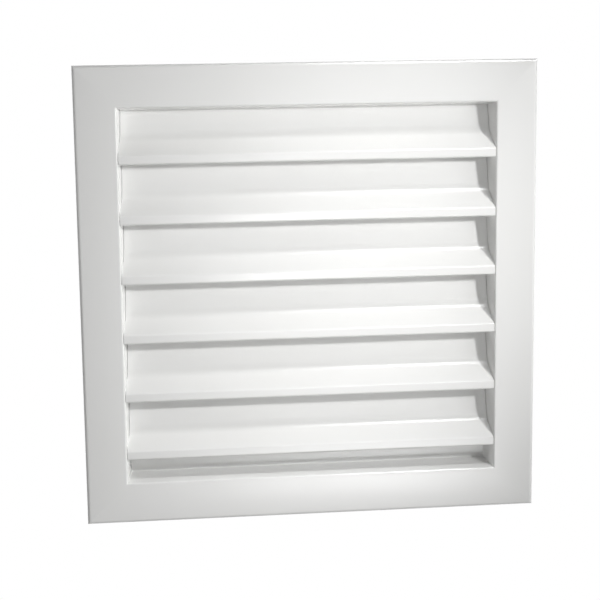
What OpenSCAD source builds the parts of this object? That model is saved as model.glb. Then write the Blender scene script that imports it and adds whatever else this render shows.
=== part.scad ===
// Square wall louvre vent in painted sheet metal.
// Four mitred frame members, bent from one strip section, make a flanged ring whose
// walls splay inwards. Six fixed dog-leg blades are riveted between the side members,
// and an insect screen is caught between the blades and the frame's rear return.
// The front faces -Y, and the origin is the centre of the opening, on the wall's face.

/* [Frame] */
// Width and height over the flange
overall = 368.3; // [330:0.1:460]
// Width of the flange round the opening
flange = 33.3; // [26:0.1:45]
// How far the flange's face stands off the wall
stand = 6; // [6:0.1:10]
// How far the frame reaches into the wall
depth = 19; // [18.5:0.1:24]
// Inward lean of the frame's walls, in degrees
splay = 8; // [4:0.5:10]
// Angle by which the crowned flange has fallen back at its rim
crown = 4; // [1:0.5:5]
// Width of the edge that is turned in to lie on the wall
turn_in = 9; // [6:0.5:14]
// Width of the rear return that holds the screen
rear_return = 14.5; // [12:0.5:17]

/* [Sheet] */
// Thickness of the sheet
sheet = 0.8; // [0.6:0.1:1]
// Bend radius at the middle of the sheet
bend_r = 1.2; // [1:0.1:1.5]
// Bend radius of the flange's outer edge, at the middle of the sheet
rim_r = 2.4; // [1.5:0.1:2.6]

/* [Blades] */
// Distance from the head down to the bottom of the first blade's lip
top_gap = 44.2; // [40:0.1:48]
// Distance from the bottom of the last blade's lip down to the sill
sill_gap = 19; // [16:0.1:26]
// Height of a blade's front lip
lip_h = 6.8; // [6:0.1:8]
// Height of the hem that is folded up behind the lip
hem_h = 5; // [4:0.1:6]
// Flat between the two bends of the hem
hem_flat = 0.3; // [0.2:0.1:0.8]
// How far the lips sit behind the flange's face
lip_setback = 0.3; // [0:0.1:2]
// Rise of a blade from the top of its lip to its crease
blade_rise = 13.8; // [12:0.1:16]
// Radius of the crease, at the middle of the sheet
crease_r = 15; // [8:0.5:16]
// Backward lean of a blade's rear leg, in degrees
leg_lean = 10; // [5:0.5:12]
// How far a blade's rear leg reaches above the bottom of the lip above
leg_overlap = 3; // [1:0.5:5]
// Gap between a blade's end and the frame
end_gap = 0.3; // [0.2:0.1:0.6]
// Gap between the first blade's leg and the head
head_gap = 0.1; // [0.1:0.1:0.6]

/* [Blade tabs] */
// Distance from a blade's lip to its end tab, along the slope
tab_start = 3.5; // [3:0.1:4.5]
// Length of an end tab, along the slope
tab_length = 12; // [11.6:0.1:12.6]
// Width of an end tab, square to the slope
tab_width = 8.2; // [7.6:0.1:8.6]
// How far a tab's rivets lie below the slope, square to it
tab_rivet_drop = 4.4; // [4:0.1:4.8]
// Distance between a tab's two rivets
tab_rivet_spacing = 6.4; // [6:0.1:6.6]

/* [Corner cleats] */
// Front edge of a cleat, behind the wall's face
cleat_front = 3.5; // [2:0.5:4]
// Height of a cleat, into the wall
cleat_h = 12; // [10:0.5:12.5]
// Length of a cleat's leg
cleat_leg = 18; // [16:0.5:19]
// Diameter of a spot weld's mark
weld_d = 4; // [3.5:0.1:4.5]
// Depth of a spot weld's mark
weld_dent = 0.2; // [0.1:0.05:0.3]
// Distance between a leg's two spot welds
weld_spacing = 8; // [7:0.5:9]

/* [Rivets] */
// Diameter of a rivet's shank
rivet_d = 2.4; // [2:0.1:2.6]
// Diameter of a rivet's domed head
rivet_head_d = 4.8; // [4.2:0.1:5]
// Height of a rivet's head
rivet_head_h = 0.9; // [0.7:0.1:1.1]
// Diameter of a rivet's set end
rivet_tail_d = 3.6; // [3.2:0.1:3.8]
// Height of a rivet's set end
rivet_tail_h = 1.3; // [1:0.1:1.6]
// Radial clearance of a rivet's hole
rivet_clear = 0.05; // [0.05:0.05:0.2]

/* [Screen] */
// Thickness of the screen over its two layers of wire
screen_t = 1.3; // [1:0.1:1.6]
// Width of one drawn strand of the screen
strand_w = 1.6; // [1:0.1:3]
// How far the screen reaches over the rear return
screen_lap = 3.5; // [2:0.5:6]
// Play of the screen between the blades and the return
screen_play = 0.1; // [0.1:0.05:0.3]

/* [Hidden] */

$fn = 48;
blade_count = 6;
// The bends, each as its radius at the middle of the sheet and its number of facets
tight_bend = [bend_r, 5];
rim_bend = [rim_r, 5];
crease_bend = [crease_r, 10];
crown_facets = 14;
// Strands of the screen, up and down, and from side to side
strands_up = 12;
strands_across = 11;
// How far the layers of the screen sink into each other where strands cross
strand_bite = 0.1;
// Spare length on whatever is cut off by another shape
spare = 2;

half = overall / 2;
opening = overall - 2 * flange;
pitch = (opening - top_gap - sill_gap) / (blade_count - 1);

// The four sides, as quarter turns from the head
HEAD = 0;
RIGHT = 1;
SILL = 2;
LEFT = 3;

// Depths behind the wall's face
face_y = -stand;
return_y = depth - sheet / 2;
screen_y = depth - sheet - screen_play - screen_t;
lip_y = face_y + lip_setback + sheet / 2;
cleat_rear = cleat_front + cleat_h;

// Half width of the frame's rear opening, inside the returns
rear_half = wall_at(return_y, sheet / 2) - rear_return;

// A full leg's top edge, against the screen, and its foot at the crease
leg_h = pitch + leg_overlap;
leg_y = screen_y - sheet / 2 * cos(leg_lean);
crease_h = lip_h + blade_rise;
crease_y = leg_y - (leg_h - crease_h) * tan(leg_lean);
blade_slope = atan2(blade_rise, crease_y - lip_y);

// Height above the first blade's lip at which its leg would run into the head
head_h = (top_gap - (crease_y - face_y - crease_h * tan(leg_lean)) * tan(splay))
    / (1 + tan(leg_lean) * tan(splay));

// Half width of the opening at depth y, measured to a line that lies `out` outside
// the wall's inner face, square to it
function wall_at(y, out = 0) = opening / 2 - (y - face_y) * tan(splay) + out / cos(splay);

// Height of the bottom of a blade's lip, with the blades counted from the top
function lip_bottom(i) = opening / 2 - top_gap - (i - 1) * pitch;

// A place below the middle of a blade's slope, as height above its lip's bottom and depth
function under_slope(along, below) = [
    lip_h + along * sin(blade_slope) - below * cos(blade_slope),
    lip_y + along * cos(blade_slope) + below * sin(blade_slope)
];

function unit(v) = v / norm(v);
function left_of(v) = [-v[1], v[0]];
function turned(v, a) = [v[0] * cos(a) - v[1] * sin(a), v[0] * sin(a) + v[1] * cos(a)];
function turn_between(a, b) = atan2(a[0] * b[1] - a[1] * b[0], a * b);

// One bend as pairs of a place on the middle of the sheet and the normal there
function bend(before, corner, after, r, steps) =
    let (
        way_in = unit(corner - before),
        angle = turn_between(way_in, unit(after - corner)),
        side = sign(angle),
        centre = corner - way_in * r * tan(abs(angle) / 2) + left_of(way_in) * side * r
    )
    [for (k = [0 : steps])
        let (normal = turned(left_of(way_in), angle * k / steps))
        [centre - normal * side * r, normal]];

// The section of a sheet bent along a path, with a bend for each inner corner
module bent_sheet(path, bends) {
    last = len(path) - 1;
    middle = concat(
        [[path[0], left_of(unit(path[1] - path[0]))]],
        [for (i = [1 : last - 1])
            each bend(path[i - 1], path[i], path[i + 1], bends[i - 1][0], bends[i - 1][1])],
        [[path[last], left_of(unit(path[last] - path[last - 1]))]]
    );
    polygon(concat(
        [for (m = middle) m[0] + m[1] * sheet / 2],
        [for (i = [len(middle) - 1 : -1 : 0]) middle[i][0] - middle[i][1] * sheet / 2]
    ));
}

// Lays a section, drawn as height and depth, along X for a length
module along_x(length) {
    rotate([0, -90, 0])
        linear_extrude(height = length, center = true)
            children();
}

// Turns what is drawn for the head to another side of the frame
module on_side(side) {
    rotate([0, 90 * side, 0])
        children();
}

// Sets its child on the inner face of the head's wall, with +Z out through the wall
module on_wall(along, y) {
    translate([along, y, wall_at(y)])
        rotate([-splay, 0, 0])
            children();
}

// The quarter of the frame that one member fills, cut at 45 degrees to both neighbours
module mitre_quarter() {
    reach = half + spare;
    rotate([90, 0, 0])
        linear_extrude(height = 4 * depth, center = true)
            polygon([[0, 0], [reach, reach], [-reach, reach]]);
}

// A layer that lies along a wall between two distances outside its inner face,
// drawn as half width and depth
module wall_layer(inner, outer, front, rear) {
    polygon([
        [wall_at(front, inner), front],
        [wall_at(front, outer), front],
        [wall_at(rear, outer), rear],
        [wall_at(rear, inner), rear]
    ]);
}

// Frame

// From the edge on the wall, round the rim and over the crowned flange, back along the
// splayed wall and in along the rear return
module member_section() {
    flange_y = face_y + sheet / 2;
    rim = half - sheet / 2;
    inner = wall_at(flange_y, sheet / 2);
    crown_half = (rim - inner) / 2;
    crown_bend = [(crown_half - rim_r) / tan(crown / 2), crown_facets];
    bent_sheet(
        [
            [half - turn_in, -sheet / 2],
            [rim, -sheet / 2],
            [rim, flange_y + crown_half * tan(crown)],
            [rim - crown_half, flange_y],
            [inner, flange_y],
            [wall_at(return_y, sheet / 2), return_y],
            [rear_half, return_y]
        ],
        [tight_bend, rim_bend, crown_bend, tight_bend, tight_bend]
    );
}

module member(side) {
    color("white")
        on_side(side)
            intersection() {
                along_x(overall + 2 * spare)
                    member_section();
                mitre_quarter();
            }
}

module head() {
    member(HEAD);
}

module sill() {
    member(SILL);
}

// A side member is a plain one with the blades' rivet holes
module jamb(side) {
    color("white")
        difference() {
            member(side);
            for (i = [1 : blade_count])
                at_blade_rivets(side, i)
                    rivet_hole();
        }
}

// Blades

// The first blade's leg stops under the head, and the others pass the lip above
function leg_top(i) = i == 1 ? head_h - head_gap : leg_h;

// From the hem behind the lip, down and round, up the lip, back along the slope and up
// the leaning rear leg
module blade_section(i) {
    hem_y = lip_y + 2 * bend_r + hem_flat;
    bottom = sheet / 2;
    bent_sheet(
        [
            [hem_h, hem_y],
            [bottom, hem_y],
            [bottom, lip_y],
            [lip_h, lip_y],
            [crease_h, crease_y],
            [leg_top(i), crease_y + (leg_top(i) - crease_h) * tan(leg_lean)]
        ],
        [tight_bend, tight_bend, tight_bend, crease_bend]
    );
}

// The space between the side members, less a gap at each
module between_jambs(gap) {
    front = face_y - spare;
    linear_extrude(height = 2 * overall, center = true)
        polygon([
            [-wall_at(front, -gap), front],
            [wall_at(front, -gap), front],
            [wall_at(depth, -gap), depth],
            [-wall_at(depth, -gap), depth]
        ]);
}

// An end tab, folded down from the slope to lie on the side member's wall
module blade_tab(end) {
    chamfer = tab_width / 4;
    tab_end = tab_start + tab_length;
    mirror([end < 0 ? 1 : 0, 0, 0])
        intersection() {
            linear_extrude(height = 2 * overall, center = true)
                wall_layer(-sheet, 0, face_y, depth);
            along_x(overall)
                polygon([
                    under_slope(tab_start, -sheet / 2),
                    under_slope(tab_end, -sheet / 2),
                    under_slope(tab_end, tab_width - chamfer),
                    under_slope(tab_end - chamfer, tab_width),
                    under_slope(tab_start + chamfer, tab_width),
                    under_slope(tab_start, tab_width - chamfer)
                ]);
        }
}

module blade(i) {
    color("white")
        difference() {
            translate([0, 0, lip_bottom(i)])
                union() {
                    intersection() {
                        along_x(overall)
                            blade_section(i);
                        between_jambs(end_gap);
                    }
                    for (end = [-1, 1])
                        blade_tab(end);
                }
            for (side = [LEFT, RIGHT])
                at_blade_rivets(side, i)
                    rivet_hole();
        }
}

// Insect screen

// Upright strands in front, cross strands behind, sunk into each other where they cross
module insect_screen() {
    reach = rear_half + screen_lap;
    layer_t = (screen_t + strand_bite) / 2;
    span = 2 * reach;
    color("silver")
        translate([0, screen_y, 0])
            union() {
                for (k = [0 : strands_up - 1])
                    translate([k * (span - strand_w) / (strands_up - 1) - reach, 0, -reach])
                        cube([strand_w, layer_t, span]);
                for (k = [0 : strands_across - 1])
                    translate([-reach, screen_t - layer_t,
                        k * (span - strand_w) / (strands_across - 1) - reach])
                        cube([span, layer_t, strand_w]);
            }
}

// Corner cleats

// One leg of a cleat, spot-welded to the outside of the head's wall at one end
module cleat_leg_at(end) {
    corner = wall_at(cleat_front, 2 * sheet);
    middle = cleat_front + cleat_h / 2;
    difference() {
        intersection() {
            translate([end * (corner + (spare - cleat_leg) / 2), 0, 0])
                along_x(cleat_leg + spare)
                    wall_layer(sheet, 2 * sheet, cleat_front, cleat_rear);
            mitre_quarter();
        }
        for (along = [-weld_spacing / 2, weld_spacing / 2])
            on_wall(end * (corner - cleat_leg / 2 - sheet + along), middle)
                translate([0, 0, 2 * sheet - weld_dent])
                    cylinder(h = sheet, d = weld_d);
    }
}

// The cleat of the corner that lies clockwise from a side
module corner_cleat(side) {
    color("gainsboro")
        union() {
            on_side(side)
                cleat_leg_at(1);
            on_side(side + 1)
                cleat_leg_at(-1);
        }
}

// Rivets

// A set rivet through two sheets, seated on z = 0 with its set end towards +Z
module rivet() {
    grip = 2 * sheet;
    head_r = rivet_head_d / 2;
    // Radius of the sphere that the domed head is cut from
    dome_r = (head_r * head_r + rivet_head_h * rivet_head_h) / (2 * rivet_head_h);
    color("white")
        union() {
            intersection() {
                translate([0, 0, dome_r - rivet_head_h])
                    sphere(r = dome_r);
                translate([0, 0, -rivet_head_h])
                    cylinder(h = rivet_head_h, r = head_r);
            }
            cylinder(h = grip, d = rivet_d);
            translate([0, 0, grip])
                cylinder(h = rivet_tail_h, d1 = rivet_tail_d, d2 = rivet_d);
        }
}

module rivet_hole() {
    translate([0, 0, -2 * sheet])
        cylinder(h = 6 * sheet, d = rivet_d + 2 * rivet_clear);
}

// The places of one end's two rivets on the inner face of a side member's wall
module at_blade_rivets(side, i) {
    up = side == LEFT ? 1 : -1;
    middle = tab_start + tab_length / 2;
    on_side(side)
        for (along = [middle - tab_rivet_spacing / 2, middle + tab_rivet_spacing / 2])
            let (place = under_slope(along, tab_rivet_drop))
            on_wall(up * (lip_bottom(i) + place[0]), place[1])
                children();
}

// The heads lie on the tabs, inside the frame
module blade_rivets(side) {
    for (i = [1 : blade_count])
        at_blade_rivets(side, i)
            translate([0, 0, -sheet])
                rivet();
}

head();
sill();
jamb(LEFT);  // jamb_left
jamb(RIGHT);  // jamb_right
blade(1);  // blade_1
blade(2);  // blade_2
blade(3);  // blade_3
blade(4);  // blade_4
blade(5);  // blade_5
blade(6);  // blade_6
corner_cleat(HEAD);  // corner_cleat_1
corner_cleat(RIGHT);  // corner_cleat_2
corner_cleat(SILL);  // corner_cleat_3
corner_cleat(LEFT);  // corner_cleat_4
blade_rivets(LEFT);  // blade_rivets_left
blade_rivets(RIGHT);  // blade_rivets_right
insect_screen();
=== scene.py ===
import math

import bmesh
import bpy
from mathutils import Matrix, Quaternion, Vector


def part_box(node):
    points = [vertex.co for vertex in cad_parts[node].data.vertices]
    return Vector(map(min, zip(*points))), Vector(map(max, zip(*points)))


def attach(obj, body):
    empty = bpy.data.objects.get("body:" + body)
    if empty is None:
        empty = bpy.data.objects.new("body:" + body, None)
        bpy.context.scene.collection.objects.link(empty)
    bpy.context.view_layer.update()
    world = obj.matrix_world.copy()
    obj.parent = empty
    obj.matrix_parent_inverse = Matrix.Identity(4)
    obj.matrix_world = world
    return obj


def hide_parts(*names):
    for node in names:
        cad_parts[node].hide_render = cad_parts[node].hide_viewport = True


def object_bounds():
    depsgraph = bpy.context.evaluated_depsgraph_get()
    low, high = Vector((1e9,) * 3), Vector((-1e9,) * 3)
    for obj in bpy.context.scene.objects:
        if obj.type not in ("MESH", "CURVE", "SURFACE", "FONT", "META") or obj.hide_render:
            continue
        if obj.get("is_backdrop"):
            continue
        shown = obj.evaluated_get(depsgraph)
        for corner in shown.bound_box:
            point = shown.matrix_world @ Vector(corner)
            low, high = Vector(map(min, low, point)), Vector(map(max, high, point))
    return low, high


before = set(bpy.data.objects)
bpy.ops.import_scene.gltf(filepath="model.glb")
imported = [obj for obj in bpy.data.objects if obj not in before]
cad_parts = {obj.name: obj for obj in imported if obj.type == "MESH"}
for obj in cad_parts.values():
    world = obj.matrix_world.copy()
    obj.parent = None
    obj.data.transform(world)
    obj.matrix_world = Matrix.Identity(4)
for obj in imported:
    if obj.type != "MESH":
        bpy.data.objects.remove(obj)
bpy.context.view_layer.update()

# Frame. Head, sill and two jambs, each bent from one strip of 0.8 mm aluminium sheet: a
# slightly crowned flange, a splayed wall and a rear return. They are mitred, joined at the
# corners and powder-coated white in one go, so the coat runs evenly over faces and bends.

millimetre = 0.001


def from_hex(code):
    """A colour written as sRGB hex, turned to the linear values that Blender works in."""
    channels = [int(code[i:i + 2], 16) / 255 for i in (1, 3, 5)]
    linear = [c / 12.92 if c <= 0.04045 else ((c + 0.055) / 1.055) ** 2.4 for c in channels]
    return (*linear, 1.0)


def new_finish(name):
    """An empty material, and its node tree."""
    finish = bpy.data.materials.new(name)
    finish.use_nodes = True
    finish.node_tree.nodes.clear()
    return finish, finish.node_tree


def add_node(tree, kind, sockets, **settings):
    """Adds a node with its settings. A socket is given a plain value or is linked to another."""
    node = tree.nodes.new("ShaderNode" + kind)
    for setting, value in settings.items():
        setattr(node, setting, value)
    for socket, value in sockets.items():
        if isinstance(value, bpy.types.NodeSocket):
            tree.links.new(value, node.inputs[socket])
        else:
            node.inputs[socket].default_value = value
    return node


def coat_nodes(names, finish):
    """Gives a finish to the CAD pieces of these names."""
    for name in names:
        for material_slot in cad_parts[name].material_slots:
            material_slot.material = finish


# Polyester powder coat, satin: a soft sheen broken up by orange peel, with a barely uneven
# tone where the powder lay thicker. The peel's waves are 1.6 mm apart and 9 microns high,
# and tone and sheen drift over 90 mm. The coat shines a little more than such a powder's
# usual IOR of 1.5 gives, as the flange in the photo does.
POWDER_WHITE = from_hex("#F1F1F0")
POWDER_THICK = from_hex("#ECECEA")
PEEL_WAVE = 1.6 * millimetre
PEEL_HEIGHT = 0.009 * millimetre
TONE_DRIFT = 90 * millimetre
COAT_SMOOTH = 0.21
COAT_ROUGH = 0.25
COAT_IOR = 1.65
# A noise node's values lie nearly all between these two
NOISE_SPREAD = {"From Min": 0.3, "From Max": 0.7}

satin_powder_coat, coat = new_finish("satin_white_powder_coat")
place = add_node(coat, "TexCoord", {}).outputs["Object"]
drift = add_node(
    coat, "TexNoise", {"Vector": place, "Scale": 1 / TONE_DRIFT, "Detail": 3.0}).outputs["Fac"]
tone = add_node(
    coat, "Mix", {"Factor": drift, "A": POWDER_WHITE, "B": POWDER_THICK}, data_type="RGBA")
sheen = add_node(
    coat, "MapRange",
    {"Value": drift, **NOISE_SPREAD, "To Min": COAT_SMOOTH, "To Max": COAT_ROUGH})
peel = add_node(
    coat, "TexNoise",
    {"Vector": place, "Scale": 1 / PEEL_WAVE, "Detail": 2.0, "Roughness": 0.4})
relief = add_node(
    coat, "Bump", {"Height": peel.outputs["Fac"], "Strength": 1.0, "Distance": PEEL_HEIGHT})
surface = add_node(
    coat, "BsdfPrincipled",
    {"Base Color": tone.outputs["Result"], "Roughness": sheen.outputs["Result"],
     "IOR": COAT_IOR, "Normal": relief.outputs["Normal"]})
add_node(coat, "OutputMaterial", {"Surface": surface.outputs["BSDF"]})

coat_nodes(["head", "sill", "jamb_left", "jamb_right"], satin_powder_coat)

# Corner cleats. Four angles of bare 0.8 mm aluminium, spot-welded over the outside of the
# mitres, out of sight in the wall, so they are never painted.

# Mill-finish aluminium: rolling leaves fine straight lines and a grey, streaky shine. Real
# lines are under 0.1 mm apart. They are drawn 0.5 mm apart, so that they show, and run on
# for 40 mm.
MILL_BRIGHT = from_hex("#D5D7D9")
MILL_DULL = from_hex("#B9BBBD")
MILL_SMOOTH = 0.3
MILL_ROUGH = 0.48
ROLL_LINE_GAP = 0.5 * millimetre
ROLL_LINE_LENGTH = 40 * millimetre
ROLL_LINE_DEPTH = 0.004 * millimetre
ROLL_SCALE = (1 / ROLL_LINE_GAP, 1 / ROLL_LINE_LENGTH, 1 / ROLL_LINE_GAP)
# Each leg's two spot welds lie 8 mm apart, half way in. The heat leaves a dull grey mark
# that fades out 1.3 mm beyond the weld.
WELD_ALONG = 141.3 * millimetre
WELD_DEEP = 9.5 * millimetre
WELD_SPACING = 8 * millimetre
WELD_RADIUS = 2 * millimetre
HEAT_FADE = 1.3 * millimetre
WELD_GREY = from_hex("#9D9C99")
WELD_ROUGH = 0.6

mill_aluminium, mill = new_finish("mill_finish_aluminium")
place = add_node(mill, "TexCoord", {}).outputs["Object"]
along_roll = add_node(mill, "Mapping", {"Vector": place, "Scale": ROLL_SCALE})
lines = add_node(
    mill, "TexNoise",
    {"Vector": along_roll.outputs["Vector"], "Scale": 1.0, "Detail": 4.0}).outputs["Fac"]
streaks = add_node(
    mill, "Mix", {"Factor": lines, "A": MILL_BRIGHT, "B": MILL_DULL}, data_type="RGBA")
rolled = add_node(
    mill, "MapRange",
    {"Value": lines, **NOISE_SPREAD, "To Min": MILL_SMOOTH, "To Max": MILL_ROUGH})
scratches = add_node(
    mill, "Bump", {"Height": lines, "Strength": 1.0, "Distance": ROLL_LINE_DEPTH})
# Folded over both middles of the vent, the eight legs' welds all come to one pair
folded = add_node(mill, "VectorMath", {0: place}, operation="ABSOLUTE")
parts = add_node(mill, "SeparateXYZ", {"Vector": folded.outputs["Vector"]})
along_leg = add_node(
    mill, "Math", {0: parts.outputs["X"], 1: parts.outputs["Z"]}, operation="MINIMUM")
from_pair = add_node(
    mill, "Math", {0: along_leg.outputs["Value"], 1: WELD_ALONG}, operation="SUBTRACT")
either_way = add_node(mill, "Math", {0: from_pair.outputs["Value"]}, operation="ABSOLUTE")
across = add_node(
    mill, "Math", {0: either_way.outputs["Value"], 1: WELD_SPACING / 2}, operation="SUBTRACT")
deep = add_node(mill, "Math", {0: parts.outputs["Y"], 1: WELD_DEEP}, operation="SUBTRACT")
from_weld = add_node(
    mill, "CombineXYZ", {"X": across.outputs["Value"], "Y": deep.outputs["Value"]})
distance = add_node(mill, "VectorMath", {0: from_weld.outputs["Vector"]}, operation="LENGTH")
heat = add_node(
    mill, "MapRange",
    {"Value": distance.outputs["Value"], "From Min": WELD_RADIUS,
     "From Max": WELD_RADIUS + HEAT_FADE, "To Min": 1.0, "To Max": 0.0}).outputs["Result"]
colour = add_node(
    mill, "Mix", {"Factor": heat, "A": streaks.outputs["Result"], "B": WELD_GREY},
    data_type="RGBA")
shine = add_node(
    mill, "Mix", {"Factor": heat, "A": rolled.outputs["Result"], "B": WELD_ROUGH})
surface = add_node(
    mill, "BsdfPrincipled",
    {"Base Color": colour.outputs["Result"], "Metallic": 1.0,
     "Roughness": shine.outputs["Result"], "Normal": scratches.outputs["Normal"]})
add_node(mill, "OutputMaterial", {"Surface": surface.outputs["BSDF"]})

coat_nodes([f"corner_cleat_{corner}" for corner in range(1, 5)], mill_aluminium)

# Blades. Six dog-leg blades folded from the same sheet: a hemmed lip at the front, a slope, a
# wide crease, a leg that leans back and a tab at each end. They are coated like the frame
# before they go in between the jambs.
coat_nodes([f"blade_{blade}" for blade in range(1, 7)], satin_powder_coat)

# Blade rivets. Two 2.4 mm aluminium blind rivets through each blade tab and the jamb. Their
# heads come enamelled white and sit inside the vent, and their set ends stay bare behind
# the jamb.

# White stove enamel on the head, with a fine ripple, and turned aluminium on the set end,
# dull where the tool gripped it. The middle of the jamb's wall, 8 degrees off square, parts
# the two: it starts 150.85 mm from the vent's middle, 6 mm in front of the building's wall.
ENAMEL_WHITE = from_hex("#F0F0EF")
ENAMEL_SHADE = from_hex("#E9E9E7")
ENAMEL_SMOOTH = 0.24
SET_BRIGHT = from_hex("#D0D2D4")
SET_DULL = from_hex("#A9ABAD")
SET_ROUGH = 0.42
RIPPLE = 0.8 * millimetre
RIPPLE_HEIGHT = 0.005 * millimetre
JAMB_FRONT = Vector((150.85, -6.0, 0.0)) * millimetre
JAMB_SPLAY = math.radians(8)
JAMB_SQUARE = Vector((math.cos(JAMB_SPLAY), math.sin(JAMB_SPLAY), 0.0))
HALF_SHEET = 0.4 * millimetre
BARE_FROM = JAMB_FRONT.dot(JAMB_SQUARE) + HALF_SHEET

enamelled_rivet, rivet_tree = new_finish("enamelled_aluminium_rivet")
place = add_node(rivet_tree, "TexCoord", {}).outputs["Object"]
ripple = add_node(
    rivet_tree, "TexNoise",
    {"Vector": place, "Scale": 1 / RIPPLE, "Detail": 2.0}).outputs["Fac"]
enamel = add_node(
    rivet_tree, "Mix", {"Factor": ripple, "A": ENAMEL_WHITE, "B": ENAMEL_SHADE},
    data_type="RGBA")
turned = add_node(
    rivet_tree, "Mix", {"Factor": ripple, "A": SET_BRIGHT, "B": SET_DULL}, data_type="RGBA")
folded = add_node(rivet_tree, "VectorMath", {0: place}, operation="ABSOLUTE")
outwards = add_node(
    rivet_tree, "VectorMath", {0: folded.outputs["Vector"], 1: JAMB_SQUARE},
    operation="DOT_PRODUCT")
bare = add_node(
    rivet_tree, "Math", {0: outwards.outputs["Value"], 1: BARE_FROM},
    operation="GREATER_THAN").outputs["Value"]
colour = add_node(
    rivet_tree, "Mix",
    {"Factor": bare, "A": enamel.outputs["Result"], "B": turned.outputs["Result"]},
    data_type="RGBA")
shine = add_node(
    rivet_tree, "MapRange",
    {"Value": bare, "From Min": 0.0, "From Max": 1.0,
     "To Min": ENAMEL_SMOOTH, "To Max": SET_ROUGH})
relief = add_node(
    rivet_tree, "Bump", {"Height": ripple, "Strength": 1.0, "Distance": RIPPLE_HEIGHT})
surface = add_node(
    rivet_tree, "BsdfPrincipled",
    {"Base Color": colour.outputs["Result"], "Metallic": bare,
     "Roughness": shine.outputs["Result"], "Normal": relief.outputs["Normal"]})
add_node(rivet_tree, "OutputMaterial", {"Surface": surface.outputs["BSDF"]})

coat_nodes(["blade_rivets_left", "blade_rivets_right"], enamelled_rivet)

# Insect screen. A square of woven aluminium wire, eight wires to the inch, crimped over and
# under each other. It lies between the blades' rear legs and the frame's return, which it
# laps by 3.5 mm all round.

WIRE = 0.45 * millimetre
WIRE_PITCH = 3.175 * millimetre
# Past the last crossing, a wire runs on for at least this much
WIRE_END = 0.6 * millimetre
# A wire's middle swings this far to each side of the screen's middle, which leaves crossing
# wires 0.04 mm apart
CRIMP = WIRE / 2 + 0.02 * millimetre


def weave(cloth, places, level, reach, upright, phase):
    """Lays one direction's wires, each a thin tube that swings at every wire it crosses."""
    for row, offset in enumerate(places):
        ends = [-reach, *places, reach]
        points = []
        for crossing, along in enumerate(ends):
            swing = 1 if (row + crossing + phase) % 2 else -1
            depth = level + swing * CRIMP
            points.append((offset, depth, along) if upright else (along, depth, offset))
        wire = cloth.splines.new("POLY")
        wire.points.add(len(points) - 1)
        for point, (x, y, z) in zip(wire.points, points):
            point.co = (x, y, z, 1.0)
        wire.use_smooth = True


low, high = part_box("insect_screen")
reach = high.x
level = (low.y + high.y) / 2
gaps = int((2 * reach - 2 * WIRE_END) / WIRE_PITCH)
places = [(k - gaps / 2) * WIRE_PITCH for k in range(gaps + 1)]
cloth = bpy.data.curves.new("woven_insect_screen", "CURVE")
cloth.dimensions = "3D"
cloth.bevel_depth = WIRE / 2
cloth.bevel_resolution = 0
cloth.use_fill_caps = True
weave(cloth, places, level, reach, upright=True, phase=0)
weave(cloth, places, level, reach, upright=False, phase=1)
woven_screen = bpy.data.objects.new("woven_insect_screen", cloth)
bpy.context.scene.collection.objects.link(woven_screen)

# Drawn aluminium wire, a little oxidised: dull grey metal, cloudy over 6 mm
WIRE_CLEAN = from_hex("#BFC1C3")
WIRE_OXIDE = from_hex("#9A9C9E")
WIRE_SMOOTH = 0.35
WIRE_ROUGH = 0.55
OXIDE_CLOUD = 6 * millimetre

drawn_wire, wire_tree = new_finish("drawn_aluminium_wire")
place = add_node(wire_tree, "TexCoord", {}).outputs["Object"]
cloud = add_node(
    wire_tree, "TexNoise",
    {"Vector": place, "Scale": 1 / OXIDE_CLOUD, "Detail": 4.0}).outputs["Fac"]
oxide = add_node(
    wire_tree, "Mix", {"Factor": cloud, "A": WIRE_CLEAN, "B": WIRE_OXIDE}, data_type="RGBA")
dullness = add_node(
    wire_tree, "MapRange",
    {"Value": cloud, **NOISE_SPREAD, "To Min": WIRE_SMOOTH, "To Max": WIRE_ROUGH})
surface = add_node(
    wire_tree, "BsdfPrincipled",
    {"Base Color": oxide.outputs["Result"], "Metallic": 1.0,
     "Roughness": dullness.outputs["Result"]})
add_node(wire_tree, "OutputMaterial", {"Surface": surface.outputs["BSDF"]})

cloth.materials.append(drawn_wire)
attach(woven_screen, "root")
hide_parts("insect_screen")

# Studio. A pale floor well below the vent, in a room that is white all round. The key lamp,
# to the right of the camera, and a wider spot high above it light the middle and fade off to
# the sides. A spot and a strip near the camera shine on the flange, and softboxes fill in.

WHITE = from_hex("#FFFFFF")
FLOOR_LEVEL = -1.35
FLOOR_REACH = 1.5

sheet = bmesh.new()
corners = [(-FLOOR_REACH, -FLOOR_REACH), (FLOOR_REACH, -FLOOR_REACH),
           (FLOOR_REACH, FLOOR_REACH), (-FLOOR_REACH, FLOOR_REACH)]
sheet.faces.new([sheet.verts.new((x, y, FLOOR_LEVEL)) for x, y in corners])
floor_mesh = bpy.data.meshes.new("studio_floor")
sheet.to_mesh(floor_mesh)
sheet.free()
floor = bpy.data.objects.new("studio_floor", floor_mesh)
bpy.context.scene.collection.objects.link(floor)
floor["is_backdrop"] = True


def seen_or_mirrored(tree):
    """1 for what the camera sees, also in a gloss or through glass, and 0 for other light."""
    rays = add_node(tree, "LightPath", {})
    seen = add_node(
        tree, "Math", {0: rays.outputs["Is Camera Ray"], 1: rays.outputs["Is Glossy Ray"]},
        operation="MAXIMUM")
    either = add_node(
        tree, "Math", {0: seen.outputs["Value"], 1: rays.outputs["Is Transmission Ray"]},
        operation="MAXIMUM")
    return either.outputs["Value"]


# White paper: matt, with a painted glow added where it is seen or mirrored, so that it looks
# white but for the vent's shadow. Towards its edges the painted glow grows as bright as the
# room, so that no edge shows.
PAPER = from_hex("#EFEFED")
PAPER_GLOW = 0.8
EDGE_GLOW = 1.0

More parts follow.
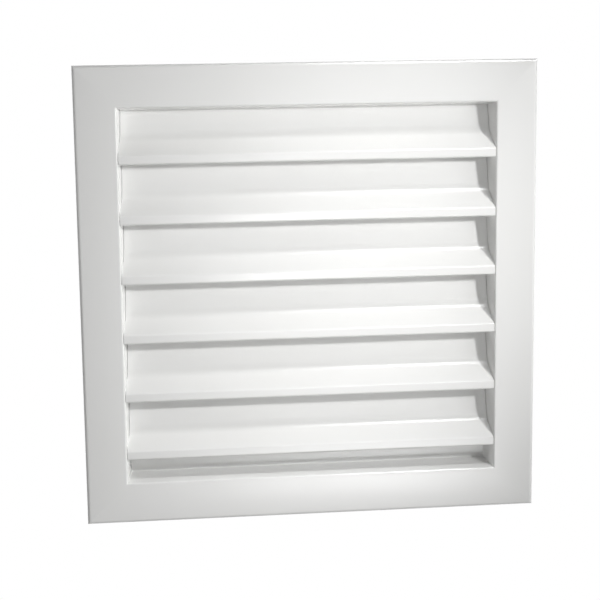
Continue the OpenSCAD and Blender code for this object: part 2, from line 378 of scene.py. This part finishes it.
white_paper, paper = new_finish("white_studio_paper")
place = add_node(paper, "TexCoord", {}).outputs["Object"]
flat = add_node(paper, "VectorMath", {0: place, 1: (1.0, 1.0, 0.0)}, operation="MULTIPLY")
from_middle = add_node(paper, "VectorMath", {0: flat.outputs["Vector"]}, operation="LENGTH")
# Strength of the painted glow, from the paper's middle out to its edges
painted_glow_strength = add_node(
    paper, "MapRange",
    {"Value": from_middle.outputs["Value"], "From Min": FLOOR_REACH / 4,
     "From Max": FLOOR_REACH, "To Min": PAPER_GLOW, "To Max": EDGE_GLOW})
matt = add_node(paper, "BsdfDiffuse", {"Color": PAPER})
glow = add_node(paper, "Emission", {"Color": WHITE, "Strength": painted_glow_strength.outputs["Result"]})
matt_and_painted_glow = add_node(paper, "AddShader", {0: matt.outputs["BSDF"], 1: glow.outputs["Emission"]})
mixed = add_node(
    paper, "MixShader",
    {"Fac": seen_or_mirrored(paper), 1: matt.outputs["BSDF"], 2: matt_and_painted_glow.outputs["Shader"]})
add_node(paper, "OutputMaterial", {"Surface": mixed.outputs["Shader"]})
floor_mesh.materials.append(white_paper)

# The room is white to the eye and in reflections, and its own light on the vent is weak
ROOM_LIGHT = 0.04

room = bpy.data.worlds.new("white_room")
room.use_nodes = True
walls = room.node_tree
walls.nodes.clear()
dim = add_node(walls, "Background", {"Color": WHITE, "Strength": ROOM_LIGHT})
white = add_node(walls, "Background", {"Color": WHITE, "Strength": 1.0})
mixed = add_node(
    walls, "MixShader",
    {"Fac": seen_or_mirrored(walls), 1: dim.outputs["Background"],
     2: white.outputs["Background"]})
add_node(walls, "OutputWorld", {"Surface": mixed.outputs["Shader"]})
bpy.context.scene.world = room

VENT_MIDDLE = (0.0, 0.0, 0.0)
FULL_FADE = 1.0


def hang(lamp, place, aim):
    """Puts a lamp in a place, turned to face a point."""
    holder = bpy.data.objects.new(lamp.name, lamp)
    holder.location = place
    holder.rotation_mode = "QUATERNION"
    holder.rotation_quaternion = (Vector(aim) - Vector(place)).to_track_quat("-Z", "Y")
    bpy.context.scene.collection.objects.link(holder)


def hang_softbox(name, place, width, height, watts):
    """A flat, even lamp that faces the vent's middle."""
    lamp = bpy.data.lights.new(name, "AREA")
    lamp.shape = "RECTANGLE"
    lamp.size = width
    lamp.size_y = height
    lamp.energy = watts
    hang(lamp, place, VENT_MIDDLE)


def hang_spot(name, place, aim, beam, width, watts):
    """A round lamp whose beam, an angle in degrees, fades out from its middle."""
    lamp = bpy.data.lights.new(name, "SPOT")
    lamp.shadow_soft_size = width / 2
    lamp.spot_size = math.radians(beam)
    lamp.spot_blend = FULL_FADE
    lamp.energy = watts
    hang(lamp, place, aim)


# Their places, in metres, and their watts are matched to the light and shade in the photograph
hang_spot("key_lamp", (0.54, -0.61, 0.26), (-0.20, 0.0, -0.03), beam=58, width=0.08, watts=19.8)
hang_spot("top_spot", (0.35, -0.61, 1.21), (0.03, 0.0, 0.0), beam=20, width=0.24, watts=31.6)
hang_spot("front_spot", (0.10, -1.20, -0.12), (0.03, 0.0, 0.01), beam=20, width=0.08, watts=3.4)
hang_softbox("low_strip", (0.20, -1.12, -0.51), width=0.4, height=0.1, watts=1.2)
hang_softbox("right_softbox", (1.06, -0.89, 0.24), width=0.6, height=0.6, watts=1.8)
hang_softbox("low_softbox", (1.10, -0.63, -0.59), width=0.6, height=0.6, watts=2.7)
hang_softbox("left_softbox", (-1.14, -0.66, 0.48), width=1.2, height=1.2, watts=2.9)
hang_softbox("rear_left_softbox", (-0.90, 0.90, 0.59), width=0.5, height=0.5, watts=9.7)
hang_softbox("rear_right_softbox", (0.90, 0.90, 0.59), width=0.5, height=0.5, watts=9.7)

# Camera, to the left of the vent and a little above it, as in the photograph. Its place, aim
# and lens come from the flange's four corners there.
CAMERA_PLACE = Vector((-0.1493, -1.2486, 0.2153))
CAMERA_AIM = Vector((-0.0091, -0.0060, -0.0046))
CAMERA_ROLL = math.radians(-0.73)
CAMERA_LENS = 94.92

view = bpy.data.cameras.new("camera")
view.lens = CAMERA_LENS
camera = bpy.data.objects.new("camera", view)
camera.location = CAMERA_PLACE
camera.rotation_mode = "QUATERNION"
level_view = (CAMERA_AIM - CAMERA_PLACE).to_track_quat("-Z", "Y")
camera.rotation_quaternion = level_view @ Quaternion((0.0, 0.0, 1.0), CAMERA_ROLL)
bpy.context.scene.collection.objects.link(camera)
bpy.context.scene.camera = camera

bpy.context.scene.view_settings.view_transform = "Standard"

low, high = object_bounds()
